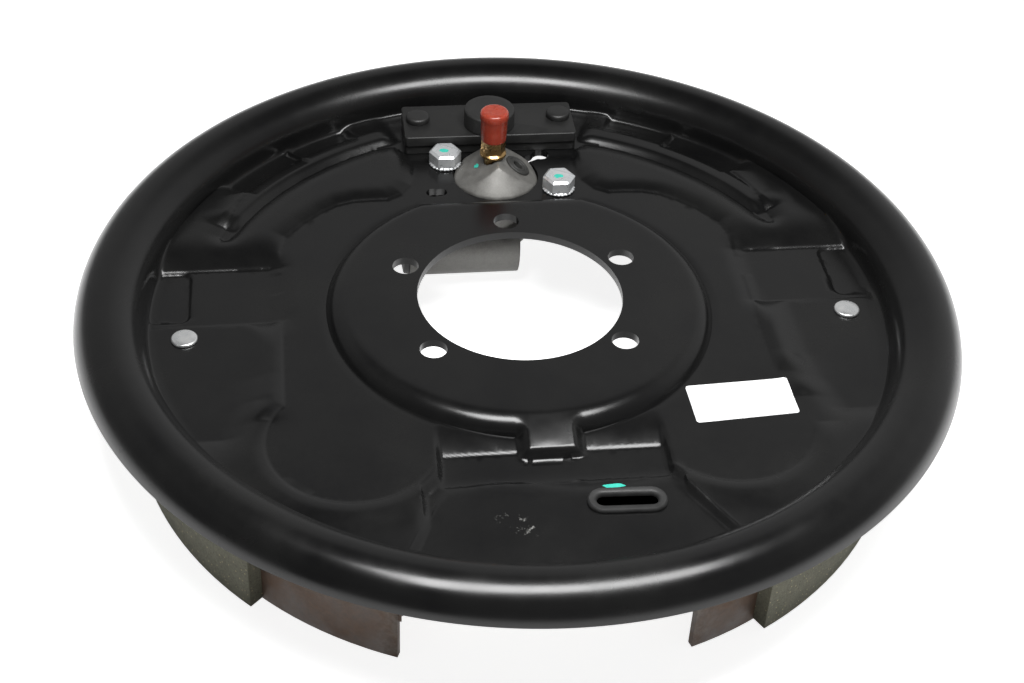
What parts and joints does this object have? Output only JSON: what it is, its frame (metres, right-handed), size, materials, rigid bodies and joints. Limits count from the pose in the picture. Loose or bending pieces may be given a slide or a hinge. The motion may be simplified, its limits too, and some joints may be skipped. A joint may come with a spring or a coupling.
{
  "type": "hydraulic trailer drum brake assembly",
  "caption": "Hydraulic trailer drum brake: pressed backing plate with anchor post, wheel cylinder, bleeder, servo shoes and star-wheel adjuster.",
  "frame": {"origin": "centre of the centre bore at the inboard face of the hub", "axes": "+Z along the axle line, pointing inboard (up as pictured); +Y from the axle to the anchor post; +X to the right seen from inboard with the anchor post at the top"},
  "size_m": [0.3393, 0.3394, 0.0798],
  "materials": {
    "plate_paint": "semi-gloss black",
    "anchor_plate_paint": "semi-gloss black",
    "backup_plate_paint": "semi-gloss black",
    "rivet_paint": "semi-gloss black",
    "post_paint": "semi-gloss black",
    "guide_steel": "dull plated",
    "cast_aluminium": "as cast",
    "bolt_zinc": "bright zinc",
    "piston_aluminium": "turned",
    "cup_rubber": "moulded",
    "cylinder_spring_steel": "bright",
    "boot_rubber": "moulded",
    "push_rod_steel": "plated",
    "bleeder_brass": "turned",
    "cap_vinyl": "soft vinyl",
    "plug_grey": "moulded",
    "primary_primer": "matt primer",
    "primary_friction": "moulded friction material",
    "secondary_primer": "matt primer",
    "secondary_friction": "moulded friction material",
    "primary_spring_steel": "dark",
    "secondary_spring_steel": "dark",
    "socket_steel": "plated",
    "star_wheel_steel": "plated",
    "nut_steel": "plated",
    "adjuster_spring_steel": "dark",
    "slot_rubber": "moulded",
    "pin_zinc": "bright zinc",
    "left_seat_steel": "plated",
    "right_seat_steel": "plated",
    "left_spring_steel": "plated",
    "right_spring_steel": "plated",
    "left_cup_steel": "plated",
    "right_cup_steel": "plated"
  },
  "bodies": {
    "base": {"backing_plate": "plate_paint", "anchor_plate": "anchor_plate_paint", "anchor_backup_plate": "backup_plate_paint", "anchor_rivets": "rivet_paint", "anchor_post": "post_paint", "shoe_guide_plate": "guide_steel", "cylinder_body": "cast_aluminium", "cylinder_bolts": "bolt_zinc", "cylinder_spring": "cylinder_spring_steel", "dust_boot": "boot_rubber", "slot_plug": "slot_rubber", "hold_down_pins": "pin_zinc", "hold_down_seat_left": "left_seat_steel", "hold_down_seat_right": "right_seat_steel", "hold_down_spring_left": "left_spring_steel", "hold_down_spring_right": "right_spring_steel", "hold_down_cup_left": "left_cup_steel", "hold_down_cup_right": "right_cup_steel", "primary_return_spring": "primary_spring_steel", "secondary_return_spring": "secondary_spring_steel", "adjuster_spring": "adjuster_spring_steel"},
    "piston": {"cylinder_piston": "piston_aluminium", "piston_cup": "cup_rubber", "push_rod": "push_rod_steel"},
    "secondary": {"secondary_shoe": "secondary_primer", "secondary_lining": "secondary_friction", "adjuster_socket": "socket_steel"},
    "star_wheel": {"star_wheel_screw": "star_wheel_steel"},
    "nut": {"adjuster_nut": "nut_steel"},
    "primary": {"primary_shoe": "primary_primer", "primary_lining": "primary_friction"},
    "bleeder": {"bleeder_screw": "bleeder_brass"},
    "cap": {"bleeder_cap": "cap_vinyl"},
    "plug": {"inlet_plug": "plug_grey"}
  },
  "joints": [
    {"name": "piston_slide", "type": "slide", "parent": "base", "child": "piston", "axis": [-1, 0, 0], "range_m": [0, 0.0025], "stiffness_N_per_m": 4000},
    {"name": "secondary_pivot", "type": "hinge", "parent": "base", "child": "secondary", "pos_m": [0, 0.115, -0.0321], "axis": [0, 0, 1], "range_deg": [0, 0.42], "deforming": ["secondary_return_spring"]},
    {"name": "star_wheel_turn", "type": "hinge", "parent": "secondary", "child": "star_wheel", "pos_m": [0.024, -0.113, -0.0321], "axis": [1, 0, 0], "range_deg": [0, 720]},
    {"name": "nut_slide", "type": "slide", "parent": "secondary", "child": "nut", "axis": [-1, 0, 0], "range_m": [0, 0.0025], "deforming": ["adjuster_spring"]},
    {"name": "primary_pivot", "type": "hinge", "parent": "nut", "child": "primary", "pos_m": [-0.0383, -0.113, -0.0321], "axis": [0, 0, 1], "range_deg": [0, 0.8], "deforming": ["primary_return_spring"]},
    {"name": "bleeder_turn", "type": "hinge", "parent": "base", "child": "bleeder", "pos_m": [-0.0012, 0.0882, 0.01], "axis": [0, 0, 1], "range_deg": [0, 270]},
    {"name": "cap_pull", "type": "slide", "parent": "bleeder", "child": "cap", "axis": [0, 0, 1], "range_m": [0, 0.02]},
    {"name": "plug_pull", "type": "slide", "parent": "base", "child": "plug", "axis": [0.5446, 0, 0.8387], "range_m": [0, 0.012]}
  ],
  "couplings": [
    {"joint": "secondary_pivot", "follows": "piston_slide", "rad_per_m": 2.8},
    {"joint": "primary_pivot", "follows": "piston_slide", "rad_per_m": 5.44},
    {"joint": "star_wheel_turn", "follows": "nut_slide", "rad_per_m": 5026.5}
  ]
}
